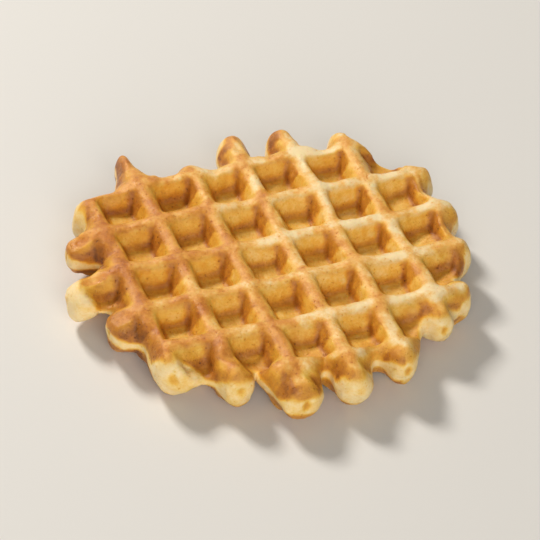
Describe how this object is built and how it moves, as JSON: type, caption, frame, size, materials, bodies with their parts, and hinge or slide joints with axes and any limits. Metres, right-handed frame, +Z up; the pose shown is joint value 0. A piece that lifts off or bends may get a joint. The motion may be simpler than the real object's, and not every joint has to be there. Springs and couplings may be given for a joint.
{
  "type": "waffle",
  "caption": "Small oval butter waffle with a square grid of deep pockets on both faces and an uneven, cog-like rim of rounded dough ends.",
  "frame": {"origin": "below the middle of the waffle's box, on the surface it lies on", "axes": "+X along the longer side of the oval and the columns of the grid, +Y along its rows, away from the side with the broadest dough ends, +Z up through the thickness"},
  "size_m": [0.1084, 0.097, 0.0159],
  "materials": {
    "crust": "baked golden crust with a faint buttery gloss, browner on the ridges and paler at the free rim"
  },
  "bodies": {
    "root": {"waffle": "crust"}
  },
  "joints": []
}
